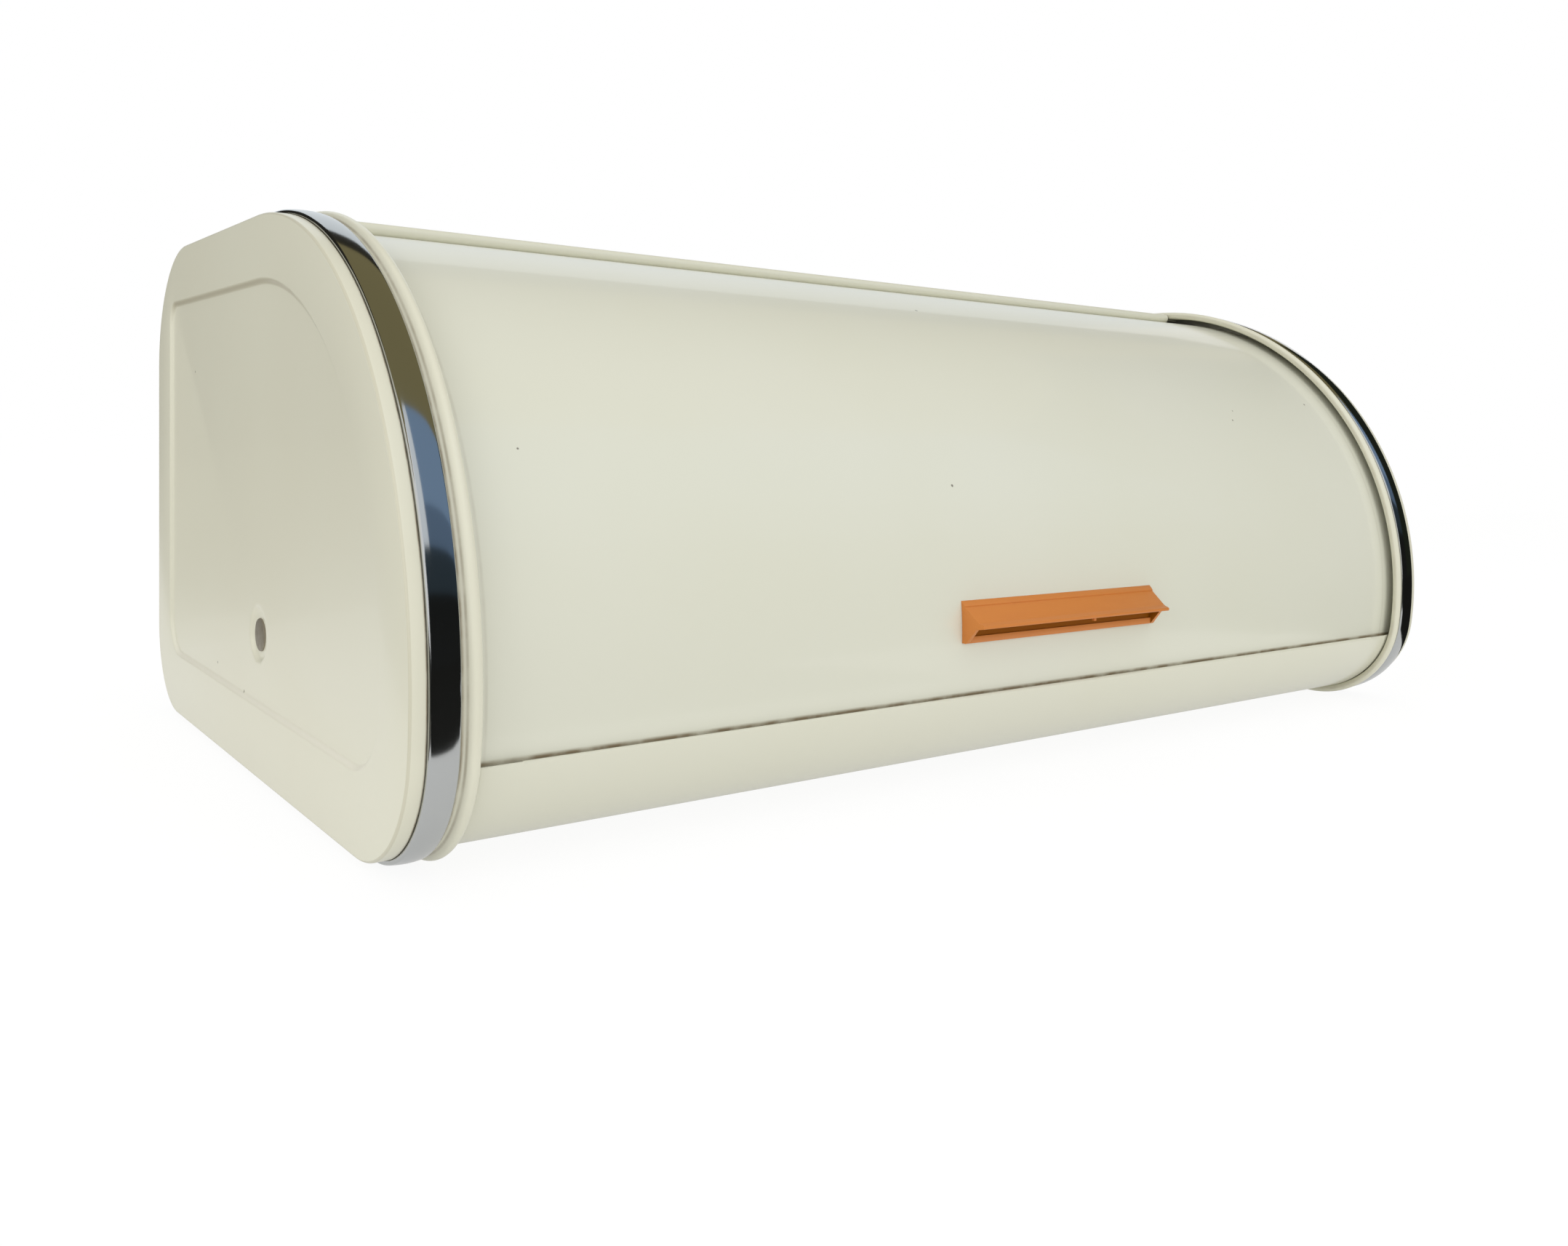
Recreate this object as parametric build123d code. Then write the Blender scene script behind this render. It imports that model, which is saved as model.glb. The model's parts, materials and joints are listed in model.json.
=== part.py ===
from build123d import *
import math
import os

# Roll-top bread box of enamelled sheet steel. Millimetres, +Z up, front towards -Y.
# The origin lies on the standing plane, under the middle of the whole box.

# Overall body
body_length = 445.0            # outside of one end face to the other, along X
rim_radius = 125.5             # rim of the end caps about the lid's pivot axis
rim_back = 132.3               # pivot axis to the back of the rim
rim_below = 43.0               # pivot axis to the underside of the rim
top_back_radius = 42.0
bottom_back_radius = 30.0
front_corner_radius = 35.3     # blends the roll-top arc into the flat bottom
sheet = 0.6                    # sheet steel gauge

# End caps: pressed dishes with a trim groove and a curled edge
face_edge_radius = 1.5
rim_width = 4.15               # face to the outer edge of the trim groove
groove_width = 8.3
groove_lip = 1.7               # strip between the trim groove and the curled edge
bead_radius = 1.6
bead_lift = 0.45               # middle of the bead above the rim
bead_slit = 0.5                # gap that the curled edge leaves inside the bead
panel_margin = 19.5            # rim to the edge of the recessed panel, at the top, front and back
panel_floor_margin = 22.0      # rim to the edge of the recessed panel, at the bottom
panel_recess = 1.1
panel_slope = 55.0             # degrees that the panel's wall leans outwards
panel_low_radius = 14.0
panel_front_radius = 20.0
dimple_radius = 8.5
dimple_recess = 0.9
dimple_slope = 50.0

# Trim bands
band_width = 8.0
band_gauge = 0.5
band_rise = 1.2                # crown of the band above the rim
band_dome = 0.4                # crown of the band above its shoulders
band_shoulder_radius = 0.8

# Base pan and back and top panel
panel_inset = 0.9              # both sheets lie this far inside the rim
seat_gap = 0.1                 # between sheets that are welded face to face
tab_reach = 8.0                # width of the stepped sides that go under the end caps
strip_drop = 15.4              # pivot axis down to the top edge of the front strip
strip_hem = 5.0
hem_gap = 0.2
hem_radius = 0.4               # rounds the folded edges
hem_end_gap = 12.0             # plain length of the strip's edge beside each end cap
rail_ahead = 4.5               # pivot axis to the middle of the rolled front edge of the top
rail_radius = 2.0
rail_end_gap = 0.4
seam_height = 14.0             # top of the seam at the back, above the rim's bottom corner
seam_lap = 10.0

# Lid
lid_drop = 3.5                 # rim down to the outside of the lid
lid_high_angle = 95.0          # degrees from the front, where the lid ends under the top
lid_seat_clearance = 0.5
lid_hem = 6.0
cheek_clearance = 4.2          # inside of the recessed panel to the outside of the lid's cheek
cheek_flange = 8.0
cheek_hub_radius = 17.0
cheek_corner_radius = 5.0
cheek_neck_radius = 12.0
cheek_bend_radius = 1.0

# Pivots
rivet_radius = 2.5
rivet_head_radius = 5.0
rivet_head_height = 1.5
rivet_tail_radius = 4.2
rivet_tail_height = 1.4
pivot_clearance = 0.05
spacer_radius = 9.0
tail_washer_radius = 7.5
tail_washer_thickness = 1.0
stack_gap = 0.05               # between the pieces stacked on a pivot

# Handle
handle_length = 92.0
handle_narrowing = 0.4         # each end, from the lid to the lip
handle_bottom = 1.1            # above the pivot axis
handle_height = 13.1           # along the lid
handle_reach = 8.5             # lid to the front of the lip
handle_ledge = 1.4             # depth of the sloped ledge along the top
handle_ledge_drop = 1.4
handle_lip_height = 7.3        # pivot axis up to the top of the lip's edge
handle_lip_edge = 0.9
handle_nose = 2.2              # flatter part of the plate, behind the lip's edge
handle_nose_rise = 0.7
handle_lip_depth = 3.2         # underside of the lip, in front of the end cheeks
handle_lip_drop = 0.6
handle_foot = 1.5              # lid to the front of the bottom rail
handle_rail_height = 1.85
handle_back_wall = 0.9
handle_front_wall = 1.3
handle_cheek_wall = 2.2
handle_edge_radius = 0.4       # along the grip
handle_end_radius = 0.2
handle_seat_gap = 0.05
stud_spacing = 62.0
stud_height = 7.4              # pivot axis to the middle of the studs
stud_radius = 2.0
stud_reach = 4.5               # lid's inside to the tip of a stud
stud_clearance = 0.15
push_nut_radius = 6.0
push_nut_thickness = 0.5
push_nut_dish = 0.8
push_nut_bite = 0.02

# Room for cuts to pass through
overrun = 5.0

# Turns, in degrees
right_angle = 90.0
half_turn = 180.0

# Worked-out sizes
half_length = body_length / 2
lid_radius = rim_radius - lid_drop
bead_rise = bead_lift + bead_radius
pivot_height = rim_below + bead_rise
front_reach = max(lid_radius + handle_reach, rim_radius + bead_rise)
back_reach = rim_back + bead_rise
pivot_y = (front_reach - back_reach) / 2
groove_outer_x = half_length - rim_width
groove_inner_x = groove_outer_x - groove_width
bead_x = groove_inner_x - groove_lip - bead_radius
bead_inner_x = bead_x - bead_radius
tab_inset = bead_radius - bead_lift + seat_gap
groove_depth = tab_inset - seat_gap - sheet
lid_inner_radius = lid_radius - sheet
face_inner_x = half_length - sheet - panel_recess
cheek_outer_x = face_inner_x - cheek_clearance
corner_distance = rim_radius - front_corner_radius
corner_center_v = front_corner_radius - rim_below
corner_angle = math.degrees(math.asin(-corner_center_v / corner_distance))

# Sketches lie across the box: u runs to the back and v runs up, both from the pivot axis.
across = Plane(origin=(0, pivot_y, pivot_height), x_dir=(0, 1, 0), z_dir=(1, 0, 0))
far = rim_back + rim_radius


def at(radius, angle):
    """Point at a radius about the pivot axis, at an angle in degrees up from the front."""
    turn = math.radians(angle)
    return (-radius * math.cos(turn), radius * math.sin(turn))


def slab(sketch, x_low, x_high):
    """Solid of a cross sketch between two places along the box."""
    return extrude(across.offset(x_low) * sketch, amount=x_high - x_low)


def both_ways(sketch, half):
    """Solid of a cross sketch, centred along the box."""
    return slab(sketch, -half, half)


def loop_edges(radius, back, below, top_corner, low_corner, front_corner):
    """Edges of a closed loop shaped like the end of the box, from the middle of its flat top backwards."""
    top_u = back - top_corner
    top_v = radius - top_corner
    low_u = back - low_corner
    low_v = low_corner - below
    front_v = front_corner - below
    front_distance = radius - front_corner
    front_u = -math.sqrt(front_distance**2 - front_v**2)
    front_angle = math.degrees(math.asin(-front_v / front_distance))
    middle = (top_u / 2, radius)
    return [
        Line(middle, (top_u, radius)),
        CenterArc((top_u, top_v), top_corner, right_angle, -right_angle),
        Line((back, top_v), (back, low_v)),
        CenterArc((low_u, low_v), low_corner, 0, -right_angle),
        Line((low_u, -below), (front_u, -below)),
        CenterArc((front_u, front_v), front_corner, -right_angle, front_angle - right_angle),
        CenterArc((0, 0), radius, half_turn + front_angle, -right_angle - front_angle),
        Line((0, radius), middle),
    ]


def outline_edges(inset):
    """Edges of the end outline, drawn in from the rim."""
    return loop_edges(
        rim_radius - inset,
        rim_back - inset,
        rim_below - inset,
        top_back_radius - inset,
        bottom_back_radius - inset,
        front_corner_radius - inset,
    )


def outline(inset):
    return make_face(outline_edges(inset))


def ring(inset_outer, inset_inner):
    """Closed wall between two insets of the end outline."""
    return outline(inset_outer) - outline(inset_inner)


def block(u_low, u_high, v_low, v_high):
    """Rectangle of a cross sketch by its limits."""
    middle = ((u_low + u_high) / 2, (v_low + v_high) / 2)
    return Pos(*middle) * Rectangle(u_high - u_low, v_high - v_low)


def arc_band(r_inner, r_outer, angle_low, angle_high):
    """Slice of a round wall about the pivot axis."""
    start = half_turn - angle_low
    size = angle_low - angle_high
    return make_face(
        [
            CenterArc((0, 0), r_outer, start, size),
            Line(at(r_outer, angle_high), at(r_inner, angle_high)),
            CenterArc((0, 0), r_inner, start + size, -size),
            Line(at(r_inner, angle_low), at(r_outer, angle_low)),
        ]
    )


def loop_sweep(section):
    """Carries a section once round the end outline. Its x is X, and its y is outwards from the rim."""
    path = Wire(outline_edges(0))
    start = ((rim_back - top_back_radius) / 2, rim_radius)
    origin = across.from_local_coords((start[0], start[1], 0))
    return sweep(Plane(origin=origin, x_dir=(1, 0, 0), z_dir=(0, -1, 0)) * section, path=across * path)


# End cap
def recess_panel(growth):
    """Outline of the recessed panel in the end face, its sides parallel to the rim."""
    margin = panel_margin - growth
    edges = loop_edges(
        rim_radius - margin,
        rim_back - margin,
        rim_below - panel_floor_margin + growth,
        top_back_radius - margin,
        panel_low_radius + growth,
        panel_front_radius + growth,
    )
    return make_face(edges)


def pressed(sketch, depth, slope, x_face):
    """Shallow pocket with leaning walls, pressed in from the end face."""
    return extrude(across.offset(x_face) * sketch, amount=-depth, taper=slope)


def end_cap():
    """Cap at the +X end: dished face, recessed panel, dimple, trim groove and curled edge."""
    flange_end = bead_x + bead_radius - sheet
    outer = slab(outline(0), flange_end, half_length)
    face_edges = outer.faces().sort_by(Axis.X)[-1].edges()
    outer = fillet(face_edges, face_edge_radius)
    outer -= slab(ring(-overrun, groove_depth), groove_inner_x, groove_outer_x)

    inner = slab(outline(sheet), flange_end - overrun, half_length - sheet)
    inner = fillet(inner.faces().sort_by(Axis.X)[-1].edges(), face_edge_radius - sheet)
    inner -= slab(ring(0, groove_depth + sheet), groove_inner_x - sheet, groove_outer_x + sheet)

    panel_growth = sheet * math.tan(math.radians(panel_slope / 2))
    dimple_growth = sheet * math.tan(math.radians(dimple_slope / 2))
    floor_x = half_length - panel_recess
    outer -= pressed(recess_panel(0), panel_recess, panel_slope, half_length)
    inner -= pressed(recess_panel(panel_growth), panel_recess, panel_slope, half_length - sheet)
    outer -= pressed(Circle(dimple_radius), dimple_recess, dimple_slope, floor_x)
    inner -= pressed(Circle(dimple_radius + dimple_growth), dimple_recess, dimple_slope, floor_x - sheet)
    cap = outer - inner
    cap -= slab(Circle(rivet_radius + pivot_clearance), face_inner_x - overrun, half_length + overrun)

    curl = Circle(bead_radius) - Circle(bead_radius - sheet)
    curl -= Pos(0, sheet / 2 - bead_radius) * Rectangle(bead_slit, 2 * sheet)
    cap += loop_sweep(Pos(bead_x, bead_lift) * curl)
    return cap


# Trim band
def trim_band():
    """Domed bright channel pressed into the groove round an end cap."""
    half = band_width / 2
    foot = seat_gap - groove_depth
    shoulder = band_rise - band_dome
    crown = ThreePointArc((-half, shoulder), (0, band_rise), (half, shoulder))
    sides = Polyline((half, shoulder), (half, foot), (-half, foot), (-half, shoulder))
    outer = make_face([crown, sides])
    outer = fillet(outer.vertices().group_by(Axis.Y)[-1], band_shoulder_radius)
    channel = outer - Pos(0, -band_gauge) * offset(outer, amount=-band_gauge)
    channel -= offset(outer, amount=-band_gauge)
    middle = (groove_inner_x + groove_outer_x) / 2
    return loop_sweep(Pos(middle, 0) * channel)


# Sheet panels between the end caps
middle_half = bead_inner_x - seat_gap
tab_half = bead_inner_x + 2 * bead_radius + tab_reach
strip_top = -strip_drop
seam_top = bottom_back_radius - rim_below + seam_height
rail_v = rim_radius - panel_inset - sheet / 2


def sheet_panel(keep, side_keep):
    """Sheet that follows the outline between the end caps, with its sides stepped in to go under them."""
    inner = panel_inset + sheet
    tab_inner = tab_inset + sheet
    panel = both_ways(ring(panel_inset, inner) & keep, middle_half)
    for side in (-1, 1):
        step = sorted((side * (middle_half - sheet), side * middle_half))
        tab = sorted((side * (middle_half - sheet), side * tab_half))
        panel += slab(ring(panel_inset, tab_inner) & side_keep, *step)
        panel += slab(ring(tab_inset, tab_inner) & side_keep, *tab)
    return panel


def base_pan():
    """Floor with the curved front strip, its hemmed edge and a low upturn at the back."""
    keep = block(-far, 0, -far, strip_top) + block(0, far, -far, seam_top)
    pan = sheet_panel(keep, keep)
    hem_half = middle_half - hem_end_gap
    layer = panel_inset + sheet
    hem_foot = strip_top - strip_hem
    hem = ring(panel_inset, layer + hem_gap + sheet) & block(-far, 0, hem_foot, strip_top)
    hem -= ring(layer, layer + hem_gap) & block(-far, 0, hem_foot, strip_top - sheet)
    hem = fillet(hem.vertices().sort_by(Axis.Y)[-2:], hem_radius)
    pan -= both_ways(block(-far, 0, strip_top - sheet, strip_top + overrun), hem_half)
    pan += both_ways(hem, hem_half)
    return pan


def back_top_panel():
    """Back and top in one sheet, lapped inside the pan at the back and curled at its front edge."""
    back_foot = seam_top + seat_gap
    back = block(0, far, back_foot, far)
    top_front = rail_radius - sheet / 2 - rail_ahead
    side_front = rail_radius + seat_gap - rail_ahead
    panel = sheet_panel(block(top_front, 0, 0, far) + back, block(side_front, 0, 0, far) + back)
    lap_inset = panel_inset + sheet + seat_gap
    lap = ring(lap_inset, lap_inset + sheet) & block(0, far, seam_top - seam_lap, back_foot + sheet)
    joggle = ring(panel_inset, lap_inset + sheet) & block(0, far, back_foot, back_foot + sheet)
    panel += both_ways(lap + joggle, middle_half - sheet - seat_gap)
    curl = Circle(rail_radius) - Circle(rail_radius - sheet)
    curl -= Pos(0, sheet / 2 - rail_radius) * Rectangle(bead_slit, 2 * sheet)
    panel += both_ways(Pos(-rail_ahead, rail_v) * curl, middle_half - rail_end_gap)
    return panel


# Lid
seat_corner = front_corner_radius - tab_inset - sheet - lid_seat_clearance
seat_cos = (lid_radius**2 - corner_distance**2 - seat_corner**2) / (2 * corner_distance * seat_corner)
seat_sin = math.sqrt(1 - seat_cos**2)
lid_low_angle = -corner_angle - math.degrees(math.asin(seat_corner * seat_sin / lid_radius))


def lid_panel():
    """Rolled sheet of the lid, hemmed inwards along both edges and pierced for the handle's studs."""
    hem_outer = lid_inner_radius - hem_gap
    hem_inner = hem_outer - sheet
    hem_turn = math.degrees(lid_hem / lid_radius)
    fold_turn = math.degrees(sheet / lid_radius)
    low, high = lid_low_angle, lid_high_angle
    curve = arc_band(lid_inner_radius, lid_radius, low, high)
    hemmed = curve + arc_band(hem_inner, hem_outer, low, low + hem_turn)
    hemmed += arc_band(hem_inner, lid_radius, low, low + fold_turn)
    hemmed += arc_band(hem_inner, hem_outer, high - hem_turn, high)
    hemmed += arc_band(hem_inner, lid_radius, high - fold_turn, high)
    corners = [at(radius, angle) for radius in (hem_inner, lid_radius) for angle in (low, high)]
    hemmed = fillet([hemmed.vertices().sort_by_distance(corner)[0] for corner in corners], hem_radius)
    hem_half = cheek_outer_x - cheek_flange - sheet
    lid = both_ways(hemmed, hem_half)
    lid += slab(curve, hem_half, cheek_outer_x)
    lid += slab(curve, -cheek_outer_x, -hem_half)
    for x in (-stud_spacing / 2, stud_spacing / 2):
        lid -= stud_shape(x, stud_radius + stud_clearance, handle_seat_gap + overrun, overrun)
    return lid


def stud_shape(x, radius, outside, inside):
    """Round bar square to the lid at a handle stud."""
    angle = math.degrees(math.asin(stud_height / lid_radius))
    turn = math.radians(angle)
    outwards = Vector(0, -math.cos(turn), math.sin(turn))
    start = across.from_local_coords((*at(lid_inner_radius - inside, angle), x))
    return extrude(Plane(origin=start, z_dir=outwards) * Circle(radius), amount=sheet + inside + outside)


def lid_cheek():
    """Cheek at the +X end of the lid: sector plate with a turned-in edge, hung on the pivot."""
    radius = lid_inner_radius - seat_gap
    start = half_turn - lid_low_angle
    size = lid_low_angle - lid_high_angle
    sector = make_face(
        [
            CenterArc((0, 0), radius, start, size),
            Line(at(radius, lid_high_angle), (0, 0)),
            Line((0, 0), at(radius, lid_low_angle)),
        ]
    )
    rim_corners = sector.vertices().sort_by_distance((0, 0))[1:]
    sector = fillet(rim_corners, cheek_corner_radius)
    plate = sector + Circle(cheek_hub_radius)
    necks = plate.vertices().sort_by_distance((0, 0))[:2]
    plate = fillet(necks, cheek_neck_radius)
    blank = slab(plate, cheek_outer_x - cheek_flange, cheek_outer_x)
    blank = fillet(blank.faces().sort_by(Axis.X)[-1].edges(), cheek_bend_radius)
    hollow = slab(offset(plate, amount=-sheet), cheek_outer_x - cheek_flange - overrun, cheek_outer_x - sheet)
    hollow = fillet(hollow.faces().sort_by(Axis.X)[-1].edges(), cheek_bend_radius - sheet)
    cheek = blank - hollow
    cheek -= slab(Circle(rivet_radius + pivot_clearance), -overrun, half_length)
    return cheek


# Pivots
dimple_inner_x = face_inner_x - dimple_recess
dimple_outer_x = dimple_inner_x + sheet
cheek_inner_x = cheek_outer_x - sheet
tail_washer_x = cheek_inner_x - stack_gap - tail_washer_thickness


def pivot_rivet():
    """Flat-headed rivet in the dimple, through the cap, spacer, cheek and tail washer."""
    shank = slab(Circle(rivet_radius), tail_washer_x, dimple_outer_x)
    head = slab(Circle(rivet_head_radius), dimple_outer_x, dimple_outer_x + rivet_head_height)
    head = fillet(head.edges().sort_by(Axis.X)[-1], rivet_head_height / 3)
    tail_foot = tail_washer_x - rivet_tail_height
    tail = slab(Circle(rivet_tail_radius), tail_foot, tail_washer_x)
    tail = fillet(tail.edges().sort_by(Axis.X)[0], rivet_tail_height / 2)
    return shank + head + tail


def washer(radius, x_low, x_high):
    return slab(Circle(radius) - Circle(rivet_radius + pivot_clearance), x_low, x_high)


# Handle
def handle_grip():
    """Moulded finger grip: a slanted plate with end cheeks and a bottom rail, and two studs through the lid."""
    base_top = handle_bottom + handle_height
    inside = lid_radius - overrun
    top = math.sqrt(lid_radius**2 - base_top**2)
    ledge = top + handle_ledge
    foot = lid_radius + handle_foot
    lip = lid_radius + handle_reach
    nose = lip - handle_nose
    under = lip - handle_lip_depth
    ledge_low = base_top - handle_ledge_drop
    nose_top = handle_lip_height + handle_nose_rise
    lip_low = handle_lip_height - handle_lip_edge
    outline_points = [
        (-inside, handle_bottom),
        (-foot, handle_bottom),
        (-under, lip_low - handle_lip_drop),
        (-lip, lip_low),
        (-lip, handle_lip_height),
        (-nose, nose_top),
        (-ledge, ledge_low),
        (-top, base_top),
        (-inside, base_top),
    ]
    profile = make_face(Polyline(*outline_points, close=True))
    rounded = [(-lip, lip_low), (-lip, handle_lip_height), (-nose, nose_top), (-ledge, ledge_low)]
    profile = fillet([profile.vertices().sort_by_distance(point)[0] for point in rounded], handle_edge_radius)
    grip = both_ways(profile, handle_length / 2)

    draft = math.degrees(math.atan(handle_narrowing / handle_reach))
    for side in (-1, 1):
        corner = across.from_local_coords((-lid_radius, 0, side * handle_length / 2))
        wall = Plane(origin=corner, x_dir=(0, 1, 0), z_dir=(side, 0, 0)).rotated((0, 0, -side * draft))
        grip -= extrude(wall * Rectangle(2 * far, 2 * far), amount=handle_narrowing + overrun)
    plate_low = pivot_height + lip_low
    front = pivot_y - ledge
    edges = grip.edges().filter_by(lambda edge: edge.center().Z > plate_low and edge.center().Y < front)
    grip = fillet(edges.filter_by(lambda edge: abs(edge.center().X) > stud_spacing / 2), handle_end_radius)

    slope = math.atan2(ledge_low - nose_top, nose - ledge)
    wall_drop = handle_front_wall / math.cos(slope)
    back = lid_radius + handle_back_wall
    plate_back = under + handle_edge_radius
    rail_top = handle_bottom + handle_rail_height
    cavity_points = [
        (-back, rail_top),
        (-foot, rail_top),
        (-foot, -overrun),
        (-plate_back, -overrun),
        (-plate_back, ledge_low - wall_drop - (plate_back - ledge) * math.tan(slope)),
        (-back, ledge_low - wall_drop + (ledge - back) * math.tan(slope)),
    ]
    cavity = make_face(Polyline(*cavity_points, close=True))
    grip -= both_ways(cavity, handle_length / 2 - handle_narrowing - handle_cheek_wall)
    grip -= both_ways(Circle(lid_radius + handle_seat_gap), half_length)
    for x in (-stud_spacing / 2, stud_spacing / 2):
        grip += stud_shape(x, stud_radius, handle_back_wall / 2, stud_reach)
    return grip


def handle_push_nuts():
    """Dished spring washers pushed onto the handle's studs inside the lid."""
    angle = math.degrees(math.asin(stud_height / lid_radius))
    turn = math.radians(angle)
    inwards = Vector(0, math.cos(turn), -math.sin(turn))
    seat_radius = math.sqrt(lid_inner_radius**2 - push_nut_radius**2) - seat_gap
    nuts = []
    for x in (-stud_spacing / 2, stud_spacing / 2):
        start = across.from_local_coords((*at(seat_radius, angle), x))
        seat = Plane(origin=start, x_dir=(1, 0, 0), z_dir=inwards)
        bore = stud_radius + push_nut_bite
        section = make_face(
            Polyline(
                (bore, push_nut_dish),
                (push_nut_radius, 0),
                (push_nut_radius, push_nut_thickness),
                (bore, push_nut_dish + push_nut_thickness),
                close=True,
            )
        )
        nut = revolve(Plane.XZ * section, axis=Axis.Z)
        nuts.append(seat * nut)
    return Compound(children=nuts)


def mirrored(solid):
    return mirror(solid, about=Plane.YZ)


right_pieces = {
    "end_cap": end_cap(),
    "chrome_band": trim_band(),
    "lid_cheek": lid_cheek(),
    "pivot_rivet": pivot_rivet(),
    "spacer_washer": washer(spacer_radius, cheek_outer_x + stack_gap, dimple_inner_x - stack_gap),
    "tail_washer": washer(tail_washer_radius, tail_washer_x, cheek_inner_x - stack_gap),
}
pieces = {
    "base_pan": base_pan(),
    "back_top_panel": back_top_panel(),
    "lid_panel": lid_panel(),
    "handle_grip": handle_grip(),
    "handle_push_nuts": handle_push_nuts(),
}
for name, solid in right_pieces.items():
    pieces["right_" + name] = solid
    pieces["left_" + name] = mirrored(solid)

os.makedirs("parts", exist_ok=True)
for name, solid in pieces.items():
    export_step(solid, "parts/" + name + ".step")
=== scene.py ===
import json
import math

import bmesh
import bpy
from mathutils import Matrix, Quaternion, Vector


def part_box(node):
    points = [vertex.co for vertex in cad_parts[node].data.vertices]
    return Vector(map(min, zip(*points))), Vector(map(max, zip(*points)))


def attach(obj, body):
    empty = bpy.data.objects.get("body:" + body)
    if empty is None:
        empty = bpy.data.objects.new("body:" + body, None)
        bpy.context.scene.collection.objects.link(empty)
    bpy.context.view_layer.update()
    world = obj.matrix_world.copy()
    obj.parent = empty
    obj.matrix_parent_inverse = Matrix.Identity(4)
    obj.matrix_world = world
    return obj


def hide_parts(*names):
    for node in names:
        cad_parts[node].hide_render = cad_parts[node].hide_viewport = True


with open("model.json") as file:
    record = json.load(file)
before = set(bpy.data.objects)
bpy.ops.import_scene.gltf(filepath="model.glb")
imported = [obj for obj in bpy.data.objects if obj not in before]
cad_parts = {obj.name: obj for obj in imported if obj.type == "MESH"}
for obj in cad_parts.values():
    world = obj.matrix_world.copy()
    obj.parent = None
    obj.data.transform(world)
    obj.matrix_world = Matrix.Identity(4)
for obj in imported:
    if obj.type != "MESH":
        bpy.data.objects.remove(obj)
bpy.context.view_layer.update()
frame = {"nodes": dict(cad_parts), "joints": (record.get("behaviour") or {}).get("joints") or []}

# Base pan
# Floor and front strip are one sheet of steel, rolled at the front and turned up a little at the back.
# The strip's top edge is folded inwards, except close to the end caps, and the pan is stove enamelled.
mm = 0.001
pivot = Vector(frame["joints"][0]["pos_m"]) / mm
cap_low, cap_high = [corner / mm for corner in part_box("right_end_cap")]
bead_radius = 1.6
bead_lift = 0.45
bead_rise = bead_lift + bead_radius
half_length = cap_high.x
rim_radius = cap_high.z - pivot.z - bead_rise
rim_back = cap_high.y - pivot.y - bead_rise
rim_below = pivot.z - cap_low.z - bead_rise
top_back_radius = 42.0
bottom_back_radius = 30.0
front_corner_radius = 35.3
corner_v = front_corner_radius - rim_below
corner_u = -math.sqrt((rim_radius - front_corner_radius) ** 2 - corner_v**2)
sheet = 0.6
sheet_inset = 0.9
clearance = 0.1
tab_inset = bead_radius - bead_lift + clearance
middle_half = cap_low.x - clearance
tab_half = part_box("base_pan")[1].x / mm
strip_top = -15.4
seam_above_corner = 14.0
seam_top = bottom_back_radius - rim_below + seam_above_corner
hem_gap = 0.2
hem_depth = 5.0
hem_end_gap = 12.0
hem_half = middle_half - hem_end_gap
merge_distance = 1e-7
sharp_above = math.radians(38)


def colour(code):
    """Linear colour of an sRGB hex code."""
    parts = [int(code[i : i + 2], 16) / 255 for i in (1, 3, 5)]
    return (*[c / 12.92 if c <= 0.04045 else ((c + 0.055) / 1.055) ** 2.4 for c in parts], 1.0)


def add_node(tree, kind, settings=None, inputs=None):
    """Adds a node with its settings, and sets or links its inputs."""
    made = tree.nodes.new(kind)
    for key, value in (settings or {}).items():
        setattr(made, key, value)
    for key, value in (inputs or {}).items():
        if isinstance(value, bpy.types.NodeSocket):
            tree.links.new(value, made.inputs[key])
        else:
            made.inputs[key].default_value = value
    return made


def new_material(name):
    """Empty material with its shader, ready for nodes."""
    material = bpy.data.materials.new(name)
    material.use_nodes = True
    return material, material.node_tree, material.node_tree.nodes["Principled BSDF"]


def clouded_tone(tree, spot, size, detail, first, second):
    """Two colours mixed in clouds of a size. Gives the nodes of the clouds and of the mixed tone."""
    clouds = add_node(tree, "ShaderNodeTexNoise", {}, {"Vector": spot, "Scale": 1 / size, "Detail": detail})
    tone = add_node(
        tree,
        "ShaderNodeMix",
        {"data_type": "RGBA"},
        {"Factor": clouds.outputs["Fac"], "A": colour(first), "B": colour(second)},
    )
    return clouds, tone


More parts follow.
